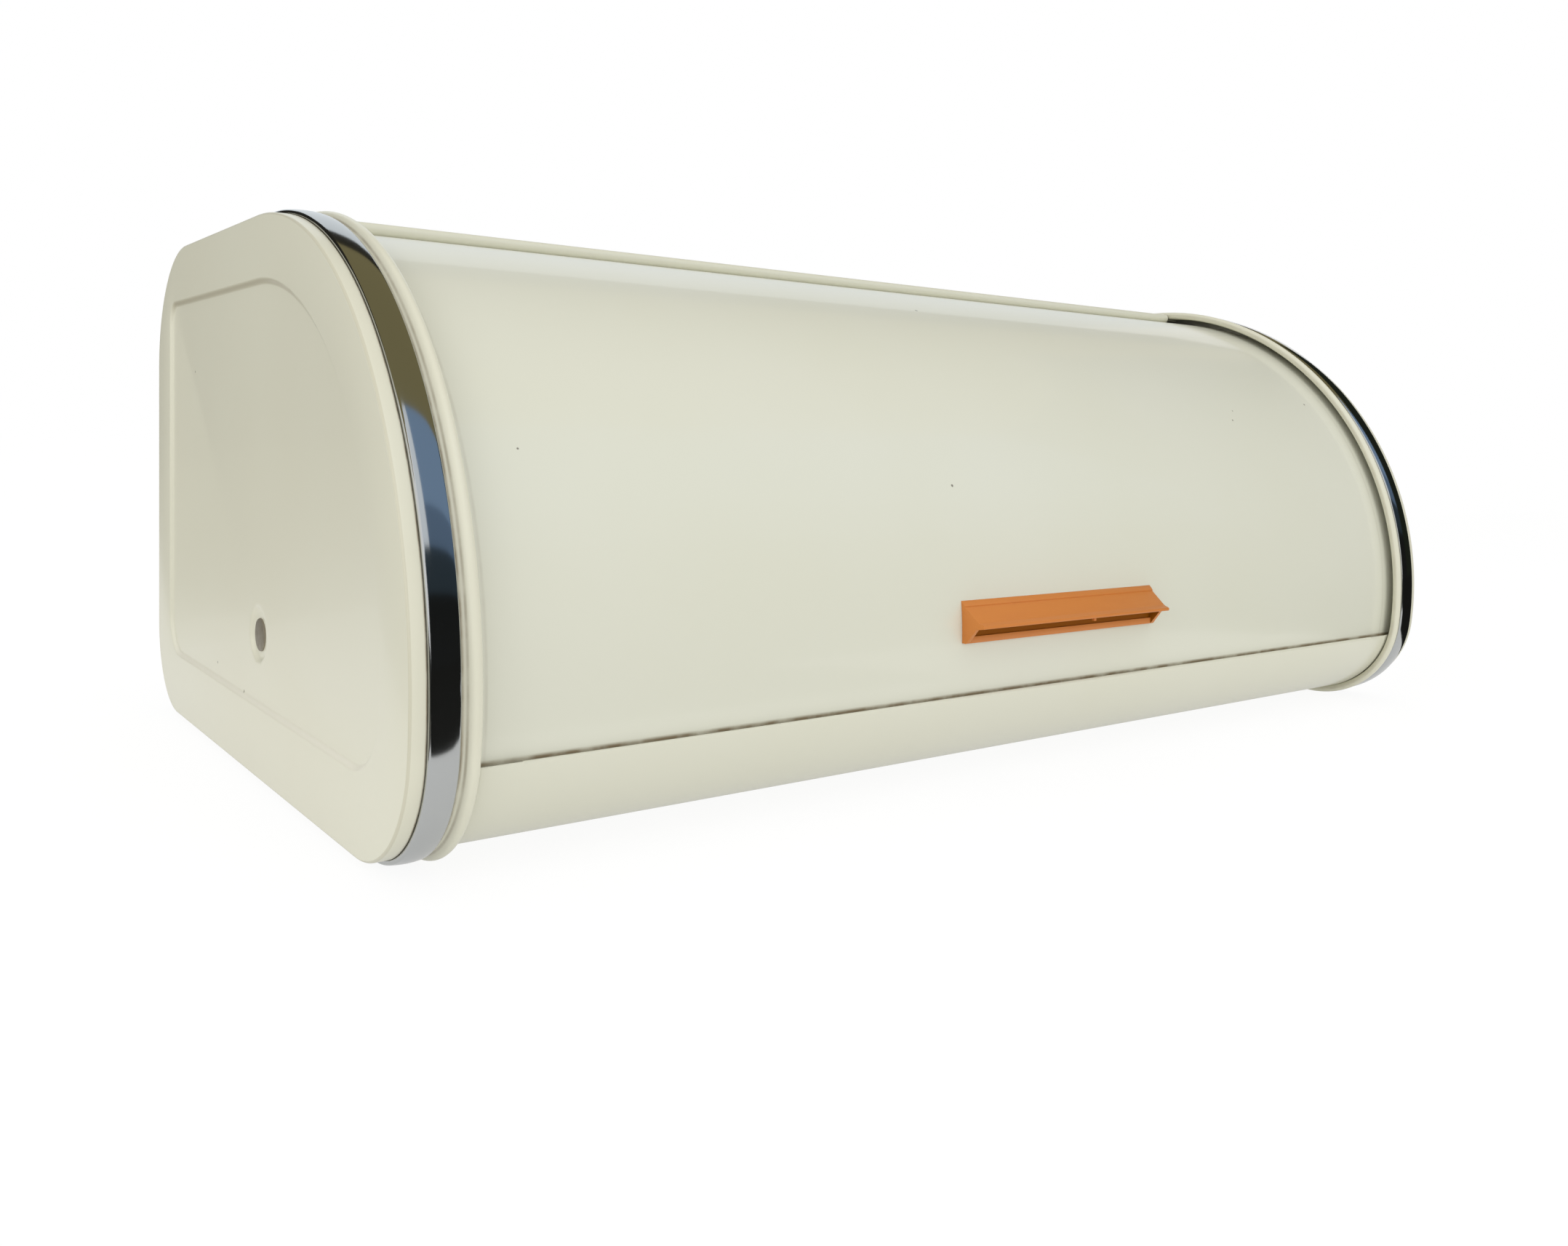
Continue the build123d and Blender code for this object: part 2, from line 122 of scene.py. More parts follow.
def cream_enamel(name, clean, aged, coat, dirt_and_shade_lines=(), painted_light=None):
    """Stove enamel on steel: an opaque cream coat that flows level in the oven and dries glossy.
    It yellows unevenly, chips to dark steel in specks, and turns brown along lines, each given
    by its axis, its place and reach in mm, and how strong it is: partly real dirt, partly painted shade in
    gaps and creases.
    Where a mesh carries painted light, its walls get a painted highlight (above 0) and painted shade (below
    0)."""
    # Colours of the brown lines (dirt and painted shade), the painted highlight, the painted shade and bare
    # steel.
    seam_dirt_and_shade, painted_highlight_colour, painted_shade_colour, bare_steel = "#7A6647", "#EFECDC", "#A0977C", "#4B3E2C"
    cloud_size = 90 * mm
    mottle_size = 7 * mm
    least_dirt_and_shade, most_dirt_and_shade = 0.35, 0.9
    speck_spacing = 20 * mm
    raggedness = 0.05
    material, tree, shader = new_material(name)
    place_on = add_node(tree, "ShaderNodeTexCoord").outputs["Object"]
    tone = clouded_tone(tree, place_on, cloud_size, 3.0, clean, aged)[1]
    mottle = add_node(
        tree, "ShaderNodeTexNoise", {}, {"Vector": place_on, "Scale": 1 / mottle_size, "Detail": 4.0}
    )
    across = add_node(tree, "ShaderNodeSeparateXYZ", {}, {"Vector": place_on})
    # Brown lines, partly real dirt and partly painted shade in gaps and creases.
    for axis, seat, reach, strong in dirt_and_shade_lines:
        from_middle = add_node(tree, "ShaderNodeMath", {"operation": "ABSOLUTE"}, {0: across.outputs[axis]})
        off = add_node(
            tree, "ShaderNodeMath", {"operation": "SUBTRACT"}, {0: from_middle.outputs[0], 1: seat * mm}
        )
        off = add_node(tree, "ShaderNodeMath", {"operation": "ABSOLUTE"}, {0: off.outputs[0]})
        near = add_node(
            tree,
            "ShaderNodeMapRange",
            {"interpolation_type": "SMOOTHSTEP"},
            {"Value": off.outputs[0], "From Max": reach * mm, "To Min": 1.0, "To Max": 0.0},
        )
        dirt_and_shade = add_node(
            tree,
            "ShaderNodeMapRange",
            {},
            {
                "Value": mottle.outputs["Fac"],
                "From Min": 0.3,
                "From Max": 0.6,
                "To Min": least_dirt_and_shade * strong,
                "To Max": most_dirt_and_shade * strong,
            },
        )
        dirt_and_shade = add_node(
            tree, "ShaderNodeMath", {"operation": "MULTIPLY"}, {0: near.outputs[0], 1: dirt_and_shade.outputs[0]}
        )
        tone = add_node(
            tree,
            "ShaderNodeMix",
            {"data_type": "RGBA"},
            {"Factor": dirt_and_shade.outputs[0], "A": tone.outputs["Result"], "B": colour(seam_dirt_and_shade)},
        )
    # Painted light from the mesh: a pale painted highlight and a brown painted shade.
    if painted_light:
        painted_amount = add_node(tree, "ShaderNodeAttribute", {"attribute_name": painted_light}).outputs["Fac"]
        for code, most in ((painted_highlight_colour, 0.75), (painted_shade_colour, -1.0)):
            cover = add_node(tree, "ShaderNodeMapRange", {}, {"Value": painted_amount, "From Max": most})
            tone = add_node(
                tree,
                "ShaderNodeMix",
                {"data_type": "RGBA"},
                {"Factor": cover.outputs[0], "A": tone.outputs["Result"], "B": colour(code)},
            )
    specks = add_node(tree, "ShaderNodeTexVoronoi", {}, {"Vector": place_on, "Scale": 1 / speck_spacing})
    ragged = add_node(
        tree,
        "ShaderNodeMath",
        {"operation": "MULTIPLY_ADD"},
        {0: mottle.outputs["Fac"], 1: raggedness, 2: specks.outputs["Distance"]},
    )
    chip = add_node(
        tree,
        "ShaderNodeMapRange",
        {},
        {"Value": ragged.outputs[0], "From Min": 0.045, "From Max": 0.055, "To Min": 0.75, "To Max": 0.0},
    )
    tone = add_node(
        tree,
        "ShaderNodeMix",
        {"data_type": "RGBA"},
        {"Factor": chip.outputs[0], "A": tone.outputs["Result"], "B": colour(bare_steel)},
    )
    tree.links.new(tone.outputs["Result"], shader.inputs["Base Color"])
    shader.inputs["Roughness"].default_value = 0.3
    shader.inputs["IOR"].default_value = 1.5
    shader.inputs["Coat Weight"].default_value = coat
    shader.inputs["Coat Roughness"].default_value = 0.06
    return material


def place(x, u, v):
    """Point in metres from millimetres along the box, back from the pivot and up from it."""
    return Vector((x, pivot.y + u, pivot.z + v)) * mm


def arc(center, radius, start, end, steps):
    """Points on an arc, by angles in degrees."""
    turns = [math.radians(start + (end - start) * i / steps) for i in range(steps + 1)]
    return [(center[0] + radius * math.cos(t), center[1] + radius * math.sin(t)) for t in turns]


def straight(start, end, steps):
    """Points between two points, without either of them."""
    shares = [i / steps for i in range(1, steps)]
    return [(start[0] + (end[0] - start[0]) * s, start[1] + (end[1] - start[1]) * s) for s in shares]


def loft(mesh, stations):
    """Closed skin through sections of equal count, each with its place along the box."""
    rings = [[mesh.verts.new(place(x, u, v)) for u, v in section] for x, section in stations]
    for near, far in zip(rings, rings[1:]):
        for i in range(len(near)):
            mesh.faces.new((near[i - 1], near[i], far[i], far[i - 1]))
    mesh.faces.new(rings[0])
    mesh.faces.new(list(reversed(rings[-1])))


def new_object(name, mesh):
    """Object of a built mesh, linked into the scene."""
    data = bpy.data.meshes.new(name)
    mesh.to_mesh(data)
    mesh.free()
    made = bpy.data.objects.new(name, data)
    bpy.context.scene.collection.objects.link(made)
    return made


def finish_piece(name, mesh, material, body, slot, *nodes):
    """Makes the object of a built mesh, smooth except at sharp edges, and puts it in its body."""
    bmesh.ops.remove_doubles(mesh, verts=mesh.verts, dist=merge_distance)
    bmesh.ops.recalc_face_normals(mesh, faces=mesh.faces)
    piece = new_object(name, mesh)
    piece.data.materials.append(material)
    piece.data.shade_smooth()
    piece.data.set_sharp_from_angle(angle=sharp_above)
    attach(piece, body)
    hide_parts(*nodes)


def pan_line(inset, top):
    """Line of the pan's sheet from an angle on the front corner, under the box and up the back."""
    corner = front_corner_radius - inset
    low = bottom_back_radius - inset
    line = arc((corner_u, corner_v), corner, 180 - top, 270, steps=40)
    low_u = rim_back - bottom_back_radius
    low_v = bottom_back_radius - rim_below
    line += straight((corner_u, inset - rim_below), (low_u, inset - rim_below), steps=12)
    line += arc((low_u, low_v), low, -90, 0, steps=24)
    line += straight((rim_back - inset, low_v), (rim_back - inset, seam_top), steps=4)
    return line + [(rim_back - inset, seam_top)]


def fold_turn(inset, bend):
    """Angle on the front corner of the middle of a fold whose top is the top of the strip."""
    return math.degrees(math.asin((strip_top - bend - corner_v) / (front_corner_radius - inset)))


def folded(inset, bend, top, start, end, steps):
    """Bend of the sheet over the top of the strip."""
    radius = front_corner_radius - inset
    middle = arc((corner_u, corner_v), radius, 180 - top, 180 - top, steps=1)[0]
    return arc(middle, bend, 180 - top - start, 180 - top - end, steps)


def pan_section(inset, hemmed):
    """Closed section of the pan, with or without its folded edge."""
    outer, inner = inset, inset + sheet
    if not hemmed:
        bend = sheet / 2
        top = fold_turn(inset + bend, bend)
        edge = folded(inset + bend, bend, top, 180, 0, steps=8)[1:-1]
        return pan_line(inner, top)[::-1] + edge + pan_line(outer, top)
    bend = sheet + hem_gap / 2
    top = fold_turn(inset + bend, bend)
    foot = top - math.degrees(hem_depth / front_corner_radius)
    leg = [front_corner_radius - inset - 2 * bend, front_corner_radius - inset - 2 * bend + sheet]
    edge = folded(inset + bend, hem_gap / 2, top, 0, 180, steps=6)[1:-1]
    edge += arc((corner_u, corner_v), leg[1], 180 - top, 180 - foot, steps=6)
    edge += arc((corner_u, corner_v), leg[0], 180 - foot, 180 - top, steps=6)
    edge += folded(inset + bend, bend, top, 180, 0, steps=14)[1:-1]
    return pan_line(inner, top)[::-1] + edge + pan_line(outer, top)


enamel = cream_enamel("cream_stove_enamel", "#DEDDCD", "#DAD9C4", 0.3)
pan = bmesh.new()
loft(pan, [(-hem_half, pan_section(sheet_inset, True)), (hem_half, pan_section(sheet_inset, True))])
step_shares = [0.0, 0.15, 0.5, 0.85, 1.0]
step_start = middle_half - 2 * sheet
side_places = [(hem_half, 0.0)]
side_places += [(step_start + (middle_half - step_start) * s, s) for s in step_shares]
side_places += [(tab_half, 1.0)]
for side in (-1, 1):
    stations = [
        (side * x, pan_section(sheet_inset + (tab_inset - sheet_inset) * s, False)) for x, s in side_places
    ]
    loft(pan, stations)
finish_piece("base_pan_sheet", pan, enamel, "case", "cream_enamel", "base_pan")

# Back and top panel
# One sheet of enamelled steel makes the back and the flat top. Its front edge is curled into a round
# rail above the lid, and its foot is stepped inwards to lap inside the upturned edge of the pan.
rail_ahead = 4.5
rail_end_gap = 0.4
rail_half = middle_half - rail_end_gap
rail_v = rim_radius - sheet_inset - sheet / 2
rail_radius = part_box("back_top_panel")[1].z / mm - pivot.z - rail_v
rail_slit = 8
lap_gap = 0.1
lap_depth = 10.0


def back_line(inset):
    """Line of the sheet from inside the rail, over the top and down the back to the seam."""
    corner = top_back_radius - inset
    top_u = rim_back - top_back_radius
    top_v = rim_radius - top_back_radius
    front = rail_radius - sheet / 2 - rail_ahead
    line = [(front, rim_radius - inset)]
    line += straight((front, rim_radius - inset), (top_u, rim_radius - inset), steps=10)
    line += arc((top_u, top_v), corner, 90, 0, steps=32)
    line += straight((rim_back - inset, top_v), (rim_back - inset, seam_top + lap_gap), steps=6)
    return line + [(rim_back - inset, seam_top + lap_gap)]


def back_section(inset, lapped):
    """Closed section of the back and top, with or without the lap at its foot."""
    inner = back_line(inset + sheet)[::-1]
    if not lapped:
        return back_line(inset) + inner
    lap_u = rim_back - inset - sheet - lap_gap
    foot = [(lap_u, seam_top + lap_gap), (lap_u, seam_top - lap_depth), (lap_u - sheet, seam_top - lap_depth)]
    foot += [(lap_u - sheet, seam_top + lap_gap + sheet), (inner[0][0], seam_top + lap_gap + sheet)]
    return back_line(inset) + foot + inner[1:]


back = bmesh.new()
rail_turns = (270 + rail_slit, 630 - rail_slit)
rail = arc((-rail_ahead, rail_v), rail_radius, *rail_turns, steps=40)
rail += arc((-rail_ahead, rail_v), rail_radius - sheet, *rail_turns[::-1], steps=40)
loft(back, [(-rail_half, rail), (rail_half, rail)])
lap_half = middle_half - 2 * sheet
loft(back, [(-lap_half, back_section(sheet_inset, True)), (lap_half, back_section(sheet_inset, True))])
for side in (-1, 1):
    stations = [
        (side * x, back_section(sheet_inset + (tab_inset - sheet_inset) * s, False))
        for x, s in side_places[1:]
    ]
    loft(back, stations)
finish_piece("back_top_sheet", back, enamel, "case", "cream_enamel", "back_top_panel")

# End caps
# Each end is pressed from one sheet of steel and enamelled. It has a recessed panel in the face, a dimple
# for the pivot, a groove for the bright trim, and a curled edge that stands above the lid beside it.
face_edge_radius = 0.9
rim_width = 4.15
groove_width = 8.3
groove_depth = tab_inset - clearance - sheet
groove_lip = 1.7
panel_margin = 19.5
panel_floor_margin = 22.0
panel_recess = 1.1
panel_top_radius = 7.0
panel_low_radius = 14.0
panel_front_radius = 20.0
panel_slope_width = 2.2
panel_wall_inside = 0.6
dimple_radius = 8.0
dimple_recess = 0.9
dimple_slope_width = 2.2
rivet_hole = 2.55
groove_outer_x = half_length - rim_width
groove_inner_x = groove_outer_x - groove_width
bead_x = groove_inner_x - groove_lip - bead_radius
bead_foot_turn = 55
bead_foot_start = 0.5
bead_foot_pull = 0.9
curl_end_turn = 250
curl_inner_turn = -56
lip_crease = 1.3
bend_steps = 8
# Painted highlight and painted shade, carried on the pressing's vertices: light on upward-facing recess
# walls, shade on downward ones and over the face-edge bend.
painted_light_layer = "painted_highlight_and_shade"
wall_painted_light = -0.7
edge_painted_shade = -0.3


def end_loop(radius, back, below, top_corner, low_corner, front_corner):
    """Closed loop shaped like the end of the box, from the top above the pivot backwards."""
    front_v = front_corner - below
    front_distance = radius - front_corner
    front_u = -math.sqrt(front_distance**2 - front_v**2)
    front_turn = math.degrees(math.asin(-front_v / front_distance))
    loop = straight((0, radius), (back - top_corner, radius), steps=12)
    loop += arc((back - top_corner, radius - top_corner), top_corner, 90, 0, steps=28)
    loop += straight((back, radius - top_corner), (back, low_corner - below), steps=8)
    loop += arc((back - low_corner, low_corner - below), low_corner, 0, -90, steps=24)
    loop += straight((back - low_corner, -below), (front_u, -below), steps=14)
    loop += arc((front_u, front_v), front_corner, -90, front_turn - 180, steps=30)[:-1]
    return loop + arc((0, 0), radius, 180 + front_turn, 90, steps=96)


def rim_loop(inset):
    """Outline of the end of the box, moved inwards."""
    return end_loop(
        rim_radius - inset,
        rim_back - inset,
        rim_below - inset,
        top_back_radius - inset,
        bottom_back_radius - inset,
        front_corner_radius - inset,
    )


def panel_loop(growth):
    """Outline of the recessed panel, moved outwards."""
    margin = panel_margin - growth
    return end_loop(
        rim_radius - margin,
        rim_back - margin,
        rim_below - panel_floor_margin + growth,
        panel_top_radius + growth,
        panel_low_radius + growth,
        panel_front_radius + growth,
    )


def hub_loop(radius):
    """Circle about the pivot whose points face those of the panel's loop."""
    turns = [math.atan2(v, u) for u, v in panel_loop(0)]
    return [(radius * math.cos(t), radius * math.sin(t)) for t in turns]


def soft_step(steps):
    """Shares of travel and of depth along a wall that is pressed with rounded bends."""
    shares = [i / steps for i in range(steps + 1)]
    return [(s, (1 - math.cos(math.pi * s)) / 2) for s in shares]


def painted_wall_light(loop, share):
    """Painted light along a pressed wall: a painted highlight where the wall faces up, painted shade where it
    faces down.
    """
    amounts = []
    for i in range(len(loop)):
        along = Vector(loop[(i + 1) % len(loop)]) - Vector(loop[i - 1])
        amounts.append(share * along.normalized().x ** 3)
    return amounts


def face_side(depth):
    """Loops of one side of the cap's face from the rivet hole out to the rim, at a depth below the outside.
    Each has its place along the box, its points, and the painted highlight and shade on them."""
    x_face = half_length - depth
    x_panel = x_face - panel_recess
    loops = [(x_panel - dimple_recess, hub_loop(rivet_hole))]
    for travel, rise in soft_step(bend_steps):
        radius = dimple_radius - dimple_slope_width / 2 + travel * dimple_slope_width
        loops.append((x_panel - dimple_recess * (1 - rise), hub_loop(radius)))
    loops.append((x_panel, hub_loop(dimple_radius + dimple_slope_width)))
    for travel, rise in soft_step(bend_steps):
        loop = panel_loop((travel - panel_wall_inside) * panel_slope_width)
        # Painted highlight on the recess walls that face up and painted shade on those that face down.
        painted_amount = painted_wall_light(loop, wall_painted_light * math.sin(math.pi * travel))
        loops.append((x_panel + panel_recess * rise, loop, painted_amount))
    edge = face_edge_radius - depth
    for i in range(bend_steps + 1):
        turn = math.radians(90 * i / bend_steps)
        loop = rim_loop(face_edge_radius - edge * math.sin(turn))
        # Painted shade over the middle of the face-edge bend, where a highlight would fall.
        painted_amount = [edge_painted_shade if 1 < i < bend_steps - 1 else 0.0] * len(loop)
        loops.append((half_length - face_edge_radius + edge * math.cos(turn), loop, painted_amount))
    return loops


def bead_foot(steps):
    """Hollow curve that takes the flat lip up into the bead, as (place along the box, rise above the rim)."""
    turn = math.radians(bead_foot_turn)
    start = Vector((groove_inner_x - bead_foot_start, 0))
    end = Vector((bead_x + bead_radius * math.cos(turn), bead_lift + bead_radius * math.sin(turn)))
    leave = start - Vector((bead_foot_pull, 0))
    meet = end + Vector((math.sin(turn), -math.cos(turn))) * bead_foot_pull
    curve = []
    for i in range(steps):
        s = i / steps
        point = start * (1 - s) ** 3 + leave * 3 * s * (1 - s) ** 2 + meet * 3 * s**2 * (1 - s) + end * s**3
        curve.append((point.x, point.y))
    return curve


def end_cap_mesh(side):
    """Skin of a whole end cap: outside, curled edge and inside."""
    outside = face_side(0)
    outside += [(groove_outer_x, rim_loop(0)), (groove_outer_x, rim_loop(groove_depth))]
    outside += [(groove_inner_x, rim_loop(groove_depth)), (groove_inner_x, rim_loop(0))]
    curl = arc((bead_x, bead_lift), bead_radius, bead_foot_turn, curl_end_turn, steps=22)
    for x, up in bead_foot(steps=8) + curl:
        outside.append((x, rim_loop(-up)))
    groove_floor = rim_loop(groove_depth + sheet)
    inside = face_side(sheet)
    inside += [(groove_outer_x + sheet, rim_loop(sheet)), (groove_outer_x + sheet, groove_floor)]
    inside += [(groove_inner_x - sheet, groove_floor), (groove_inner_x - sheet, rim_loop(sheet))]
    for x, up in arc((bead_x, bead_lift), bead_radius - sheet, curl_inner_turn, curl_end_turn, steps=20):
        inside.append((x, rim_loop(-up)))
    loops = outside + inside[::-1]
    mesh = bmesh.new()
    # Layer of the painted highlight and shade on the vertices.
    painted_amount = mesh.verts.layers.float.new(painted_light_layer)
    rings = []
    for x, loop, *amounts in loops:
        ring = [mesh.verts.new(place(side * x, u, v)) for u, v in loop]
        for vert, amount in zip(ring, amounts[0] if amounts else ()):
            vert[painted_amount] = amount
        rings.append(ring)
    for near, far in zip(rings, rings[1:] + rings[:1]):
        for i in range(len(near)):
            mesh.faces.new((near[i - 1], near[i], far[i], far[i - 1]))
    return mesh


# Brown lines on the caps, partly dirt and partly painted shade: in the gaps either side of the trim band, in
# the crease of the lip and at the inner foot of the bead.
cap_dirt_and_shade_lines = [
    ("X", groove_outer_x, 0.4, 1.0),
    ("X", groove_inner_x, 0.9, 1.0),
    ("X", groove_inner_x - lip_crease, 0.4, 0.5),
    ("X", bead_x - bead_radius, 0.2, 0.25),
]
cap_enamel = cream_enamel("cream_stove_enamel_caps", "#DFDECB", "#DBD8C3", 0.08, cap_dirt_and_shade_lines, painted_light_layer)
for side, end in ((-1, "left"), (1, "right")):
    pressing = end_cap_mesh(side)
    finish_piece(end + "_cap_pressing", pressing, cap_enamel, "case", "cream_enamel", end + "_end_cap")

# Trim bands
# A bright chromium-plated strip with a domed top is bent round each end cap and sits in its groove.
# Both bands have the same section, so one set of nodes carries it along the outline at either end.
band_low, band_high = [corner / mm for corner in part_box("right_chrome_band")]
band_sizes = {
    "Width": (band_high.x - band_low.x) * mm,
    "Height": 1.6 * mm,
    "Shoulder radius": 0.75 * mm,
    "Dome": 0.4 * mm,
    "Lift": 0.35 * mm,
    "End distance": (band_high.x + band_low.x) / 2 * mm,
}


def chrome_plate():
    """Decorative chromium over nickel on brass: a mirror with faint polishing waves."""
    wave_size = 22 * mm
    wave_height = 0.4 * mm
    material, tree, shader = new_material("chromium_plate")
    place_on = add_node(tree, "ShaderNodeTexCoord").outputs["Object"]
    waves = add_node(
        tree, "ShaderNodeTexNoise", {}, {"Vector": place_on, "Scale": 1 / wave_size, "Detail": 1.0}
    )
    bump = add_node(
        tree,
        "ShaderNodeBump",
        {},
        {"Height": waves.outputs["Fac"], "Strength": 0.15, "Distance": wave_height},
    )
    tree.links.new(bump.outputs["Normal"], shader.inputs["Normal"])
    shader.inputs["Base Color"].default_value = colour("#C1C3C3")
    shader.inputs["Metallic"].default_value = 1.0
    shader.inputs["Roughness"].default_value = 0.1
    return material


def new_tree(name, shape, sizes, result):
    """Empty node tree that takes a shape and sizes and gives a shape, and what it is given."""
    tree = bpy.data.node_groups.new(name, "GeometryNodeTree")
    tree.interface.new_socket(shape, in_out="INPUT", socket_type="NodeSocketGeometry")
    for size in sizes:
        tree.interface.new_socket(size, in_out="INPUT", socket_type="NodeSocketFloat")
    tree.interface.new_socket(result, in_out="OUTPUT", socket_type="NodeSocketGeometry")
    return tree, add_node(tree, "NodeGroupInput").outputs


def give_copies(tree, copying, material, result):
    """Puts a shape on points, makes one mesh of the copies and gives it in its material."""
    copies = add_node(tree, "GeometryNodeInstanceOnPoints", {}, copying)
    copies = add_node(tree, "GeometryNodeRealizeInstances", {}, {"Geometry": copies.outputs[0]})
    copies = add_node(
        tree, "GeometryNodeSetMaterial", {}, {"Geometry": copies.outputs[0], "Material": material}
    )
    add_node(tree, "NodeGroupOutput", {}, {result: copies.outputs[0]})


def trim_along_outline(material):
    """Node tree that carries the band's domed section round the outline, once at each end of the box."""
    tree, given = new_tree("trim_along_outline", "Outline", band_sizes, "Bands")
    path = add_node(tree, "GeometryNodeMeshToCurve", {}, {"Mesh": given["Outline"]})
    path = add_node(
        tree,
        "GeometryNodeSetCurveNormal",
        {"mode": "FREE"},
        {"Curve": path.outputs[0], "Normal": (1.0, 0.0, 0.0)},
    )
    strip = add_node(
        tree,
        "GeometryNodeCurvePrimitiveQuadrilateral",
        {},
        {"Width": given["Width"], "Height": given["Height"]},
    )
    strip = add_node(
        tree,
        "GeometryNodeFilletCurve",
        {"mode": "POLY"},
        {"Curve": strip.outputs[0], "Radius": given["Shoulder radius"], "Count": 6},
    )
    strip = add_node(tree, "GeometryNodeSubdivideCurve", {}, {"Curve": strip.outputs[0], "Cuts": 3})
    spot = add_node(tree, "GeometryNodeInputPosition").outputs[0]
    corner = add_node(tree, "ShaderNodeSeparateXYZ", {}, {0: spot})
    # The crown falls from 1 in the middle of the top to 0 at both edges, and is 0 below.
    share = add_node(
        tree, "ShaderNodeMath", {"operation": "DIVIDE"}, {0: corner.outputs["X"], 1: given["Width"]}
    )
    square = add_node(
        tree, "ShaderNodeMath", {"operation": "MULTIPLY"}, {0: share.outputs[0], 1: share.outputs[0]}
    )
    crown = add_node(
        tree, "ShaderNodeMath", {"operation": "MULTIPLY_ADD"}, {0: square.outputs[0], 1: -4.0, 2: 1.0}
    )
    top = add_node(tree, "ShaderNodeMath", {"operation": "GREATER_THAN"}, {0: corner.outputs["Y"], 1: 0.0})
    crown = add_node(
        tree, "ShaderNodeMath", {"operation": "MULTIPLY"}, {0: crown.outputs[0], 1: top.outputs[0]}
    )
    rise = add_node(
        tree,
        "ShaderNodeMath",
        {"operation": "MULTIPLY_ADD"},
        {0: crown.outputs[0], 1: given["Dome"], 2: given["Lift"]},
    )
    shift = add_node(tree, "ShaderNodeCombineXYZ", {}, {"Y": rise.outputs[0]})
    strip = add_node(
        tree, "GeometryNodeSetPosition", {}, {"Geometry": strip.outputs[0], "Offset": shift.outputs[0]}
    )
    band = add_node(
        tree, "GeometryNodeCurveToMesh", {}, {"Curve": path.outputs[0], "Profile Curve": strip.outputs[0]}
    )
    back = add_node(tree, "ShaderNodeMath", {"operation": "MULTIPLY"}, {0: given["End distance"], 1: -1.0})
    apart = add_node(tree, "ShaderNodeMath", {"operation": "MULTIPLY"}, {0: given["End distance"], 1: 2.0})
    first = add_node(tree, "ShaderNodeCombineXYZ", {}, {"X": back.outputs[0]})
    step = add_node(tree, "ShaderNodeCombineXYZ", {}, {"X": apart.outputs[0]})
    ends = add_node(
        tree,
        "GeometryNodeMeshLine",
        {},
        {"Count": 2, "Start Location": first.outputs[0], "Offset": step.outputs[0]},
    )
    give_copies(tree, {"Points": ends.outputs[0], "Instance": band.outputs[0]}, material, "Bands")
    return tree


def edge_object(name, points, closed):
    """Object of a line of edges alone, through points in metres."""
    edges = bmesh.new()
    line = [edges.verts.new(point) for point in points]
    for i in range(0 if closed else 1, len(line)):
        edges.edges.new((line[i - 1], line[i]))
    return new_object(name, edges)


def run_tree(piece, tree, sizes, sharp):
    """Runs a node tree on an object and keeps the result as a plain mesh, sharp above an angle in degrees."""
    modifier = piece.modifiers.new(tree.name, "NODES")
    modifier.node_group = tree
    for socket in tree.interface.items_tree:
        if socket.name in sizes:
            modifier[socket.identifier] = sizes[socket.name]
    graph = bpy.context.evaluated_depsgraph_get()
    data = bpy.data.meshes.new_from_object(piece.evaluated_get(graph))
    piece.modifiers.remove(modifier)
    piece.data = data
    merged = bmesh.new()
    merged.from_mesh(data)
    bmesh.ops.remove_doubles(merged, verts=merged.verts, dist=merge_distance)
    bmesh.ops.recalc_face_normals(merged, faces=merged.faces)
    merged.to_mesh(data)
    merged.free()
    data.shade_smooth()
    data.set_sharp_from_angle(angle=math.radians(sharp))


chrome = chrome_plate()
trim_bands = edge_object("chrome_trim_bands", [place(0, u, v) for u, v in rim_loop(0)], True)
run_tree(trim_bands, trim_along_outline(chrome), band_sizes, sharp=50)
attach(trim_bands, "case")
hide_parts("left_chrome_band", "right_chrome_band")

# Lid
# The lid is a sheet of enamelled steel, rolled to a radius about the pivots and folded inwards along both
# long edges. It runs under the curled edges of the end caps, so that it turns back under the flat top.
lid_low, lid_high = [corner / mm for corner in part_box("lid_panel")]
lid_radius = pivot.y - lid_low.y
lid_half = lid_high.x
lid_low_turn = -math.degrees(math.asin((pivot.z - lid_low.z) / lid_radius))
lid_high_turn = 95.0
lid_hem_depth = 6.0
lid_hem_end_gap = 8.6
lid_hem_half = lid_half - lid_hem_end_gap
lid_steps = 120
rub_inset = 2.6


def lid_arc(radius, start, end, steps):
    """Points on an arc about the pivots, by angles in degrees above the front."""
    return arc((0, 0), radius, 180 - start, 180 - end, steps)


